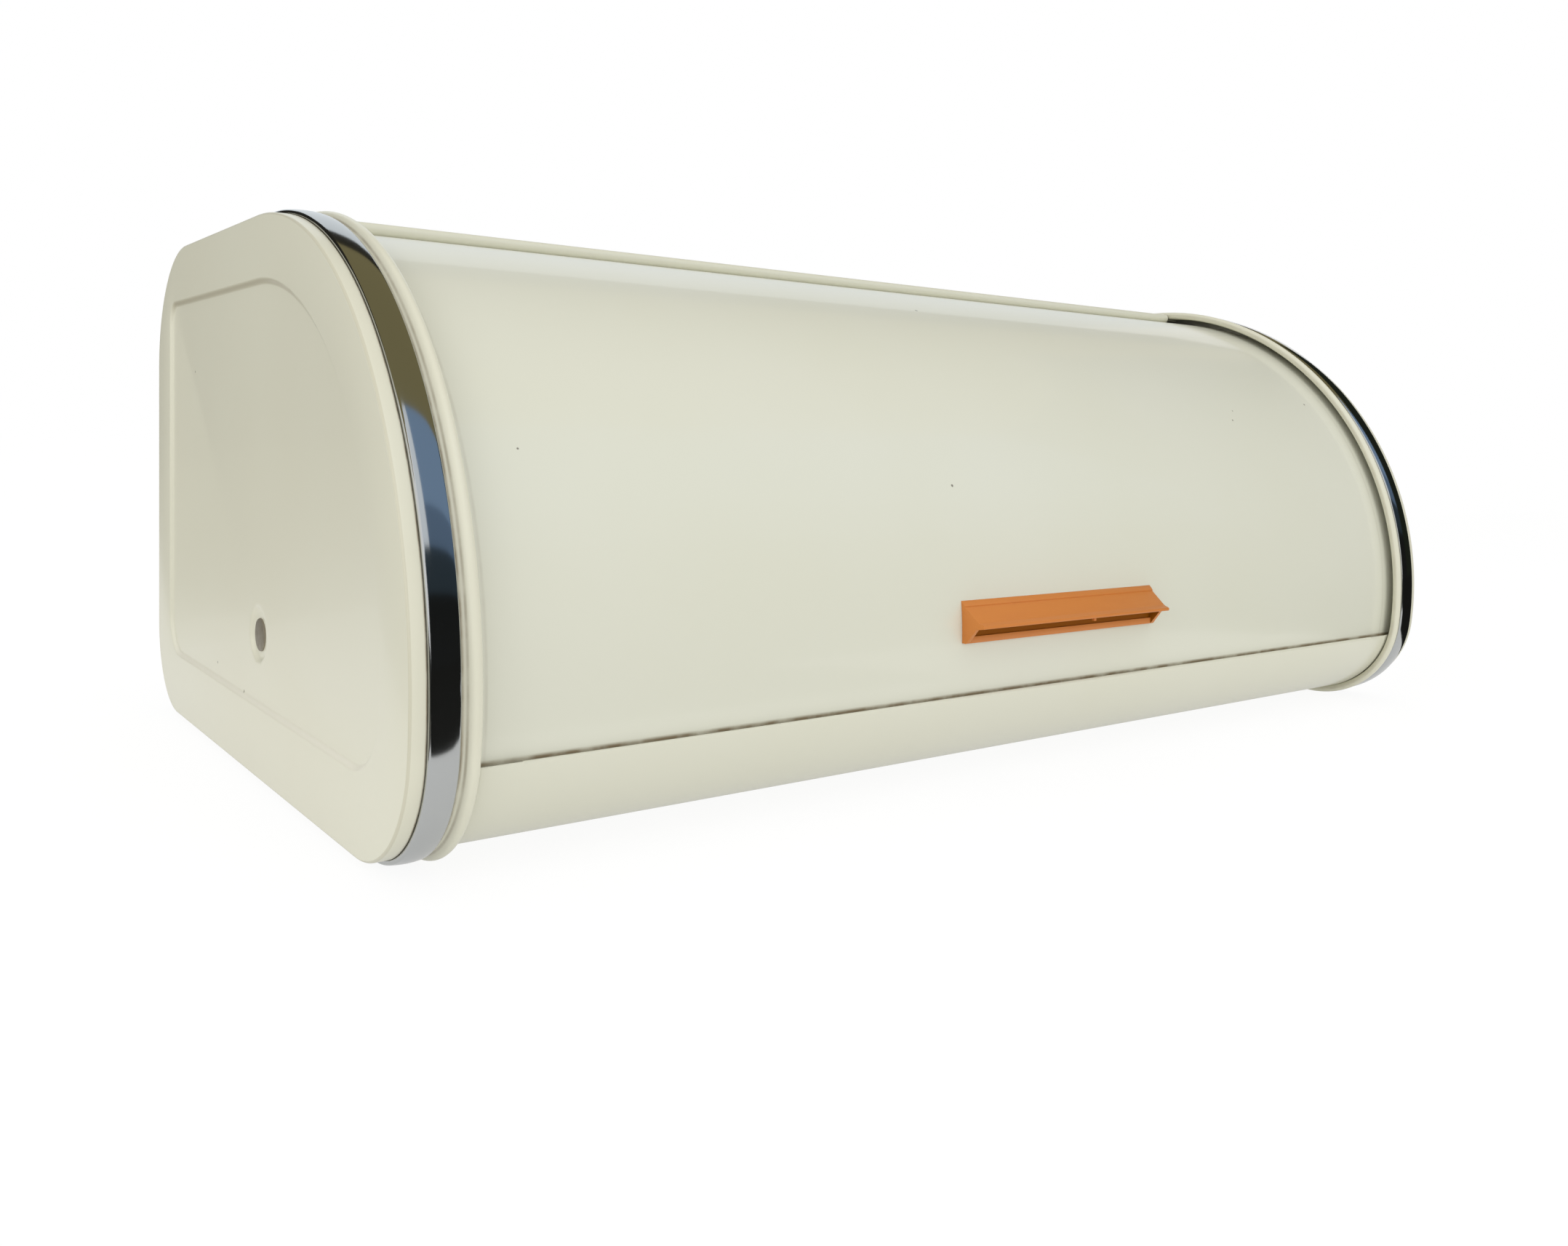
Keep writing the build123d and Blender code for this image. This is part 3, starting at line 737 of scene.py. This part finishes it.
def lid_section(hemmed):
    """Closed section of the lid, with or without its folded edges."""
    inner = lid_radius - sheet
    bend = sheet + hem_gap / 2 if hemmed else sheet / 2
    bend_turn = math.degrees(bend / lid_radius)
    low, high = lid_low_turn + bend_turn, lid_high_turn - bend_turn
    section = lid_arc(lid_radius, low, high, lid_steps)
    middle_high = lid_arc(lid_radius - bend, high, high, steps=1)[0]
    middle_low = lid_arc(lid_radius - bend, low, low, steps=1)[0]
    if not hemmed:
        section += arc(middle_high, bend, 180 - high, -high, steps=8)[1:-1]
        section += lid_arc(inner, high, low, lid_steps)
        return section + arc(middle_low, bend, 360 - low, 180 - low, steps=8)[1:-1]
    leg_inner, leg_outer = lid_radius - 2 * bend, lid_radius - 2 * bend + sheet
    hem_turn = math.degrees(lid_hem_depth / lid_radius)
    section += arc(middle_high, bend, 180 - high, -high, steps=12)[1:-1]
    section += lid_arc(leg_inner, high, high - hem_turn, steps=8)
    section += lid_arc(leg_outer, high - hem_turn, high, steps=8)
    section += arc(middle_high, hem_gap / 2, -high, 180 - high, steps=6)[1:-1]
    section += lid_arc(inner, high, low, lid_steps)
    section += arc(middle_low, hem_gap / 2, 180 - low, 360 - low, steps=6)[1:-1]
    section += lid_arc(leg_outer, low, low + hem_turn, steps=8)
    section += lid_arc(leg_inner, low + hem_turn, low, steps=8)
    return section + arc(middle_low, bend, 360 - low, 180 - low, steps=12)[1:-1]


lid = bmesh.new()
loft(lid, [(-lid_hem_half, lid_section(True)), (lid_hem_half, lid_section(True))])
loft(lid, [(-lid_half, lid_section(False)), (-lid_hem_half, lid_section(False))])
loft(lid, [(lid_hem_half, lid_section(False)), (lid_half, lid_section(False))])
# Painted shadow on the lid just above the gap at the strip's top edge, and a faint line of real dirt where
# the lid runs by the caps.
lid_dirt_and_shade_lines = [("Z", pivot.z + strip_top, 1.2, 1.0), ("X", middle_half - rub_inset, 0.7, 0.15)]
lid_enamel = cream_enamel("cream_stove_enamel_lid", "#DEDED0", "#DADAC7", 0.3, lid_dirt_and_shade_lines)
finish_piece("lid_sheet", lid, lid_enamel, "lid", "cream_enamel", "lid_panel")

# Lid cheeks
# Sector plates of sheet steel inside the end caps carry the lid on its pivots. The lid lies on their curved
# flanges, and they are enamelled with it.


def repaint(name, material):
    """Gives a piece that is shown as its CAD solid the finish of the real one."""
    node = frame["nodes"][name]
    node.data.materials.clear()
    node.data.materials.append(material)
    return node


for end in ("left", "right"):
    repaint(end + "_lid_cheek", lid_enamel)

# Pivots
# A zinc-plated steel rivet with a thin flat head sits in each dimple. Inside, it goes through a nylon
# spacer, the cheek and a steel washer, and its tail is set over.
tail_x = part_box("right_pivot_rivet")[0].x / mm
dimple_x = half_length - panel_recess - dimple_recess
shank_radius = 2.5
tail_radius = 4.2
tail_thickness = 1.4
head_radius = 5.0
head_thickness = 0.65
rivet_section = [
    (tail_x, 0.0),
    (tail_x, 3.5),
    (tail_x + 0.2, 4.0),
    (tail_x + 0.7, tail_radius),
    (tail_x + tail_thickness, tail_radius),
    (tail_x + tail_thickness, shank_radius),
    (dimple_x, shank_radius),
    (dimple_x, head_radius),
    (dimple_x + 0.3, head_radius),
    (dimple_x + 0.5, 4.85),
    (dimple_x + 0.6, 4.5),
    (dimple_x + head_thickness, 0.0),
]
spin_radius = 1.0


def zinc_plate(name, bright, dull):
    """Zinc on mild steel, dulled to a soft warm grey: it shines in blotches and has no clear mirror."""
    material, tree, shader = new_material(name)
    place_on = add_node(tree, "ShaderNodeTexCoord").outputs["Object"]
    bloom_size = 2.5 * mm
    bloom, tone = clouded_tone(tree, place_on, bloom_size, 4.0, bright, dull)
    gloss = add_node(
        tree, "ShaderNodeMapRange", {}, {"Value": bloom.outputs["Fac"], "To Min": 0.35, "To Max": 0.6}
    )
    tree.links.new(tone.outputs["Result"], shader.inputs["Base Color"])
    tree.links.new(gloss.outputs["Result"], shader.inputs["Roughness"])
    shader.inputs["Metallic"].default_value = 0.5
    return material


def natural_nylon():
    """Unpigmented nylon, moulded: a milky off-white that darkens unevenly with grease."""
    material, tree, shader = new_material("natural_nylon")
    place_on = add_node(tree, "ShaderNodeTexCoord").outputs["Object"]
    grease_size = 4 * mm
    tone = clouded_tone(tree, place_on, grease_size, 3.0, "#DED9C8", "#CFC7B0")[1]
    tree.links.new(tone.outputs["Result"], shader.inputs["Base Color"])
    shader.inputs["Roughness"].default_value = 0.5
    return material


def rivet_at_each_end(material):
    """Node tree that turns a half section into a rivet and puts one at each end of the box."""
    sizes = ("Spin radius", "Axis back", "Axis height")
    tree, given = new_tree("rivet_at_each_end", "Half section", sizes, "Rivets")
    half = add_node(tree, "GeometryNodeMeshToCurve", {}, {"Mesh": given["Half section"]})
    ring = add_node(
        tree, "GeometryNodeCurvePrimitiveCircle", {}, {"Resolution": 48, "Radius": given["Spin radius"]}
    )
    ring = add_node(
        tree,
        "GeometryNodeSetCurveNormal",
        {"mode": "FREE"},
        {"Curve": ring.outputs[0], "Normal": (0.0, 0.0, 1.0)},
    )
    rivet = add_node(
        tree, "GeometryNodeCurveToMesh", {}, {"Curve": ring.outputs[0], "Profile Curve": half.outputs[0]}
    )
    axis = add_node(tree, "ShaderNodeCombineXYZ", {}, {"Y": given["Axis back"], "Z": given["Axis height"]})
    ends = add_node(
        tree,
        "GeometryNodeMeshLine",
        {},
        {"Count": 2, "Start Location": axis.outputs[0], "Offset": (0.0, 0.0, 0.0)},
    )
    end = add_node(tree, "GeometryNodeInputIndex")
    lie = add_node(
        tree,
        "ShaderNodeMath",
        {"operation": "MULTIPLY_ADD"},
        {0: end.outputs[0], 1: -math.pi, 2: math.pi / 2},
    )
    lie = add_node(tree, "ShaderNodeCombineXYZ", {}, {"Y": lie.outputs[0]})
    copying = {"Points": ends.outputs[0], "Instance": rivet.outputs[0], "Rotation": lie.outputs[0]}
    give_copies(tree, copying, material, "Rivets")
    return tree


zinc = zinc_plate("zinc_plate", "#A29B8C", "#857D6C")
section_points = [Vector((x, radius - spin_radius, 0)) * mm for x, radius in rivet_section]
rivets = edge_object("pivot_rivets", section_points, False)
rivet_sizes = {"Spin radius": spin_radius * mm, "Axis back": pivot.y * mm, "Axis height": pivot.z * mm}
run_tree(rivets, rivet_at_each_end(zinc), rivet_sizes, sharp=30)
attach(rivets, "case")
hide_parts("left_pivot_rivet", "right_pivot_rivet")
nylon = natural_nylon()
for end in ("left", "right"):
    repaint(end + "_tail_washer", zinc)
    repaint(end + "_spacer_washer", nylon)

# Handle
# The finger grip is one moulding of caramel plastic: a slanted plate with a ledge along its top, two end
# cheeks and a bottom rail round a hollow. Two studs go through the lid, with spring washers inside.
grip_low, grip_high = [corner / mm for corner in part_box("handle_grip")]
grip_half = grip_high.x
grip_top = grip_high.z - pivot.z
grip_bottom = grip_low.z - pivot.z
grip_lip = pivot.y - grip_low.y
seat_gap = 0.05
grip_seat = lid_radius + seat_gap
grip_lean = 0.9
cheek_wall = 0.9
plate_wall = 1.3
rail_depth = 1.5
rail_front = lid_radius + rail_depth
rail_height = 2.05
rail_top = grip_bottom + rail_height
back_thickness = 0.9
back_wall = lid_radius + back_thickness
lip_thickness = 2.8
lip_back = grip_lip - lip_thickness
ledge_depth = 0.6
nose_depth = 2.2
plate_start = (lid_radius + ledge_depth, 12.3)
plate_end = (grip_lip - nose_depth, 8.0)
plate_turn = math.atan2(plate_start[1] - plate_end[1], plate_end[0] - plate_start[0])
# From the rail's foot, round the lip and up the plate to the ledge, as (back, up, rounding).
grip_corners = [
    (-rail_front, grip_bottom, 0.3),
    (3.2 - grip_lip, 5.8, 0.4),
    (-grip_lip, 6.4, 0.35),
    (-grip_lip, 7.3, 0.35),
    (-plate_end[0], plate_end[1], 3.0),
    (-plate_start[0], plate_start[1], 0.12),
    (-lid_radius - 0.8, 12.65, 0.3),
]
stud_apart = 62.0
stud_up = 7.4
stud_radius = 2.0
stud_reach = 4.5
stud_root = 0.5
stud_inside = lid_radius - sheet - stud_reach
stud_outside = lid_radius + stud_root
gate_place = (8.0, -lip_back - 0.9, 5.9)
gate_size = (1.1, 0.9, 1.3)
hollow_foot = -9.0
soften_width = 0.25 * mm
soften_above = math.radians(40)


def caramel_plastic(name, fresh, worn, shine):
    """Moulded plastic from a polished mould: an even caramel with faint flow streaks and a soft shine."""
    flow_size = 5 * mm
    grain_size = 0.9 * mm
    grain_height = 0.1 * mm
    material, tree, shader = new_material(name)
    place_on = add_node(tree, "ShaderNodeTexCoord").outputs["Object"]
    drawn = add_node(tree, "ShaderNodeMapping", {}, {"Vector": place_on, "Scale": (0.25, 1.0, 1.0)})
    flow, tone = clouded_tone(tree, drawn.outputs[0], flow_size, 4.0, fresh, worn)
    grain = add_node(
        tree, "ShaderNodeTexNoise", {}, {"Vector": place_on, "Scale": 1 / grain_size, "Detail": 2.0}
    )
    gloss = add_node(
        tree, "ShaderNodeMapRange", {}, {"Value": flow.outputs["Fac"], "To Min": 0.32, "To Max": 0.5}
    )
    bump = add_node(
        tree,
        "ShaderNodeBump",
        {},
        {"Height": grain.outputs["Fac"], "Strength": 0.12, "Distance": grain_height},
    )
    tree.links.new(tone.outputs["Result"], shader.inputs["Base Color"])
    tree.links.new(gloss.outputs["Result"], shader.inputs["Roughness"])
    tree.links.new(bump.outputs["Normal"], shader.inputs["Normal"])
    shader.inputs["Specular IOR Level"].default_value = shine
    return material


def rounded(corners, steps):
    """Line through corners given as (back, up, radius), each rounded to its radius."""
    line = []
    for i in range(1, len(corners) - 1):
        corner = Vector(corners[i][:2])
        radius = corners[i][2]
        before = (Vector(corners[i - 1][:2]) - corner).normalized()
        after = (Vector(corners[i + 1][:2]) - corner).normalized()
        half = before.angle(after) / 2
        middle = corner + (before + after).normalized() * radius / math.sin(half)
        start = corner + before * radius / math.tan(half) - middle
        sweep = start.angle_signed(corner + after * radius / math.tan(half) - middle)
        first = math.degrees(math.atan2(start.y, start.x))
        line += arc(middle, radius, first, first - math.degrees(sweep), steps)
    return line


def grip_section():
    """Closed outline of the grip's end, with its back on the lid."""
    low = math.degrees(math.asin(grip_bottom / grip_seat))
    high = math.degrees(math.asin(grip_top / grip_seat))
    seat = lid_arc(grip_seat, high, low, steps=8)
    return seat + rounded([(*seat[-1], 0)] + grip_corners + [(*seat[0], 0)], steps=6)


def grip_ends(mesh):
    """Solid between the two ends of the grip, which lean in a little towards the lip."""
    rings = []
    for side in (-1, 1):
        ring = []
        for u, v in grip_section():
            lean = grip_lean * (-u - lid_radius) / (grip_lip - lid_radius)
            ring.append(mesh.verts.new(place(side * (grip_half - lean), u, v)))
        rings.append(ring)
    for i in range(len(rings[0])):
        mesh.faces.new((rings[0][i - 1], rings[0][i], rings[1][i], rings[1][i - 1]))
    mesh.faces.new(rings[0])
    mesh.faces.new(list(reversed(rings[1])))


def plain_object(name, mesh, material):
    """Object of a built mesh in one material, with its faces turned outwards."""
    bmesh.ops.recalc_face_normals(mesh, faces=mesh.faces)
    made = new_object(name, mesh)
    made.data.materials.append(material)
    return made


caramel = caramel_plastic("caramel_moulded_plastic", "#D38339", "#CC7B35", 0.5)
# Darker, duller caramel for the cut faces of the hollow: painted shade for the shadow inside it.
caramel_painted_shade = caramel_plastic("caramel_plastic_painted_shade", "#A05C06", "#905004", 0.15)
solid = bmesh.new()
grip_ends(solid)
grip = plain_object("finger_grip", solid, caramel)
under_drop = plate_wall / math.cos(plate_turn)
under_plate = []
for reach in (lip_back, back_wall):
    fall = (reach - plate_start[0]) * math.tan(plate_turn)
    under_plate.append((-reach, plate_start[1] - fall - under_drop))
hollow_section = [(-back_wall, rail_top), (-rail_front, rail_top)]
hollow_section += [(-rail_front, hollow_foot), (-lip_back, hollow_foot)] + under_plate
hollow = bmesh.new()
hollow_half = grip_half - grip_lean - cheek_wall
loft(hollow, [(-hollow_half, hollow_section), (hollow_half, hollow_section)])
# The front of the rail stands in the light, so it keeps the plain plastic without the painted shade.
rail_front_face = 2
hollow.faces.ensure_lookup_table()
hollow.faces[rail_front_face].material_index = 1
hollow_block = plain_object("grip_hollow", hollow, caramel_painted_shade)
hollow_block.data.materials.append(caramel)
cut = grip.modifiers.new("hollow", "BOOLEAN")
cut.operation = "DIFFERENCE"
cut.solver = "EXACT"
cut.material_mode = "TRANSFER"
cut.object = hollow_block
soften = grip.modifiers.new("soften", "BEVEL")
soften.width = soften_width
soften.segments = 2
soften.angle_limit = soften_above
graph = bpy.context.evaluated_depsgraph_get()
grip_data = bpy.data.meshes.new_from_object(grip.evaluated_get(graph))
grip.modifiers.clear()
grip.data = grip_data
bpy.data.objects.remove(hollow_block)
studs = bmesh.new()
studs.from_mesh(grip_data)
stud_turn = math.asin(stud_up / lid_radius)
outwards = Vector((0, -math.cos(stud_turn), math.sin(stud_turn)))
for x in (-stud_apart / 2, stud_apart / 2):
    middle = Vector((x, pivot.y, pivot.z)) + outwards * (stud_inside + stud_outside) / 2
    stand = Matrix.Translation(middle * mm) @ outwards.to_track_quat("Z", "Y").to_matrix().to_4x4()
    bmesh.ops.create_cone(
        studs,
        cap_ends=True,
        segments=32,
        radius1=stud_radius * mm,
        radius2=stud_radius * mm,
        depth=(stud_outside - stud_inside) * mm,
        matrix=stand,
    )
gate = Matrix.Translation(place(*gate_place)) @ Matrix.Diagonal((*(Vector(gate_size) * mm), 1.0))
bmesh.ops.create_cube(studs, size=1.0, matrix=gate)
studs.to_mesh(grip_data)
studs.free()
grip_data.shade_smooth()
grip_data.set_sharp_from_angle(angle=sharp_above)
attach(grip, "lid")
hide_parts("handle_grip")
repaint("handle_push_nuts", zinc)

# Studio
# A plain pale floor in a white surround, with soft lights in front, at the left and above. Cards outside
# the picture give the chrome its dark, brown and blue zones. The camera is low at the left front.
camera_place = pivot + Vector((-330.13, -405.23, 65.40))
camera_aim = Vector((0.60080, 0.79791, -0.04869))
camera_roll = 1.336
photo_width = 2156
focal_pixels = 1785.6
sensor_width = 36
camera_data = bpy.data.cameras.new("camera")
camera_data.sensor_width = sensor_width
camera_data.lens = sensor_width * focal_pixels / photo_width
camera_data.shift_x = 0.0016
camera_data.shift_y = -0.0827
camera_data.clip_start = 10 * mm
camera = bpy.data.objects.new("camera", camera_data)
bpy.context.scene.collection.objects.link(camera)
camera.rotation_mode = "QUATERNION"
camera.location = camera_place * mm
turn = Quaternion((0, 0, 1), math.radians(camera_roll))
camera.rotation_quaternion = camera_aim.to_track_quat("-Z", "Y") @ turn
bpy.context.scene.camera = camera

floor_mesh = bmesh.new()
bmesh.ops.create_grid(floor_mesh, x_segments=1, y_segments=1, size=6.0)
floor = new_object("floor", floor_mesh)


def seen_directly(tree):
    """1 for what the camera sees, straight or through a mirror or glass, and 0 for light on its way."""
    rays = add_node(tree, "ShaderNodeLightPath").outputs
    seen = rays["Is Camera Ray"]
    for kind in ("Is Glossy Ray", "Is Transmission Ray"):
        seen = add_node(tree, "ShaderNodeMath", {"operation": "MAXIMUM"}, {0: seen, 1: rays[kind]}).outputs[0]
    return seen


floor_paint, tree, shader = new_material("pale_floor")
shader.inputs["Base Color"].default_value = colour("#F0F0EE")
shader.inputs["Roughness"].default_value = 0.9
glow_mirrored, glow_seen = 0.8, 1.04
glow_share, more_mirrored, more_seen = 0.45, 0.2, 0.22
camera_ray = add_node(tree, "ShaderNodeLightPath").outputs["Is Camera Ray"]
white = add_node(
    tree, "ShaderNodeMapRange", {}, {"Value": camera_ray, "To Min": glow_mirrored, "To Max": glow_seen}
)
glow = add_node(tree, "ShaderNodeEmission", {}, {"Color": (1, 1, 1, 1), "Strength": white.outputs["Result"]})
share = add_node(
    tree,
    "ShaderNodeMath",
    {"operation": "MULTIPLY_ADD"},
    {0: seen_directly(tree), 1: more_mirrored, 2: glow_share},
)
share = add_node(
    tree, "ShaderNodeMath", {"operation": "MULTIPLY_ADD"}, {0: camera_ray, 1: more_seen, 2: share.outputs[0]}
)
mixed = add_node(
    tree,
    "ShaderNodeMixShader",
    {},
    {0: share.outputs[0], 1: shader.outputs["BSDF"], 2: glow.outputs["Emission"]},
)
tree.links.new(mixed.outputs["Shader"], tree.nodes["Material Output"].inputs["Surface"])
floor.data.materials.append(floor_paint)

world = bpy.data.worlds.new("studio_white")
bpy.context.scene.world = world
world.use_nodes = True
tree = world.node_tree
surround_light, surround_seen = 0.84, 1.0
strength = add_node(
    tree,
    "ShaderNodeMapRange",
    {},
    {"Value": seen_directly(tree), "To Min": surround_light, "To Max": surround_seen},
)
tree.links.new(strength.outputs["Result"], tree.nodes["Background"].inputs["Strength"])
tree.nodes["Background"].inputs["Color"].default_value = (1, 1, 1, 1)


def soft_light(name, spot, aim, size, watts):
    """Square soft light that lights the object and doesn't mirror in it."""
    data = bpy.data.lights.new(name, "AREA")
    data.size = size
    data.energy = watts
    light = bpy.data.objects.new(name, data)
    bpy.context.scene.collection.objects.link(light)
    light.location = spot
    light.rotation_mode = "QUATERNION"
    light.rotation_quaternion = (Vector(aim) - light.location).to_track_quat("-Z", "Y")
    light.visible_camera = False
    light.visible_glossy = False


soft_light("front_softbox", spot=(0.2, -1.8, 0.4), aim=(0, 0, 0.08), size=0.6, watts=4.8)
soft_light("left_softbox", spot=(-1.7, -0.4, 0.7), aim=(-0.2, 0, 0.08), size=0.9, watts=5.8)
soft_light("top_softbox", spot=(0.2, -0.6, 1.9), aim=(0, 0, 0.08), size=1.2, watts=2.0)


def studio_flag(name, corners, code):
    """Matt card outside the picture: it shows in the chrome and the enamel, and takes no light away."""
    data = bpy.data.meshes.new(name)
    data.from_pydata(corners, [], [(0, 1, 2, 3)])
    card = bpy.data.objects.new(name, data)
    bpy.context.scene.collection.objects.link(card)
    paint, tree, shader = new_material(name)
    shade = add_node(tree, "ShaderNodeEmission", {}, {"Color": colour(code)})
    tree.links.new(shade.outputs["Emission"], tree.nodes["Material Output"].inputs["Surface"])
    data.materials.append(paint)
    card.visible_camera = False
    card.visible_diffuse = False
    card.visible_transmission = False
    card.visible_shadow = False


white_left = -0.305
white_right = 0.27
patch_left = 0.03
patch_right = 0.25
window_right = -0.03
front_left = -1.5
room_half = 4
room_width = (-room_half, room_half)
ceiling_height = 2.2
card_lift = 0.003
back_foot, back_top = (2.4, 0), (2.4, 2.6)
ceiling_lines = [(2.0, ceiling_height), (1.4, ceiling_height), (-1.1, ceiling_height)]
front_lines = [ceiling_lines[-1], (-1.4, 1.1), (-1.5, 0.8), (-1.6, 0.5), (-1.6, 0)]
floor_front, floor_patch, floor_white = (-1.6, card_lift), (-0.34, card_lift), (-0.2, card_lift)
floor_right, floor_back = (0.6, card_lift), (2.4, card_lift)
dark_floor = "#1C1C1A"
# Each card has its left and right end, and the two lines it spans, as (back, up).
cards = {
    "back_sweep": ((white_left, room_half), back_foot, back_top, "#E6ECF0"),
    "back_left": ((-room_half, white_left), back_foot, back_top, "#2A2925"),
    "ceiling_back": (room_width, ceiling_lines[0], ceiling_lines[1], "#2E2C26"),
    "ceiling": (room_width, ceiling_lines[1], ceiling_lines[2], "#837A57"),
    "front_window": ((front_left, window_right), front_lines[0], front_lines[2], "#E8EEF4"),
    "front_high": ((window_right, room_half), front_lines[0], front_lines[1], "#8098B4"),
    "front_upper": ((window_right, room_half), front_lines[1], front_lines[2], "#62768E"),
    "front_middle": ((front_left, room_half), front_lines[2], front_lines[3], "#323C43"),
    "front_low": ((front_left, room_half), front_lines[3], front_lines[4], "#1E1F1E"),
    "floor_front": (room_width, floor_front, floor_patch, dark_floor),
    "floor_front_left": ((-room_half, patch_left), floor_patch, floor_white, dark_floor),
    "floor_front_right": ((patch_right, room_half), floor_patch, floor_white, dark_floor),
    "floor_left": ((-room_half, white_left), floor_white, floor_back, "#6E6C64"),
    "floor_right": ((white_right, room_half), floor_white, floor_right, dark_floor),
}
for name, ((left, right), first, last, code) in cards.items():
    studio_flag(name, [(left, *first), (right, *first), (right, *last), (left, *last)], code)
right_wall = [(2.4, -1.6, 0), (2.4, 0.6, 0), (2.4, 0.6, ceiling_height), (2.4, -1.6, ceiling_height)]
studio_flag("right_side", right_wall, "#23271F")

bpy.context.scene.view_settings.view_transform = "Standard"
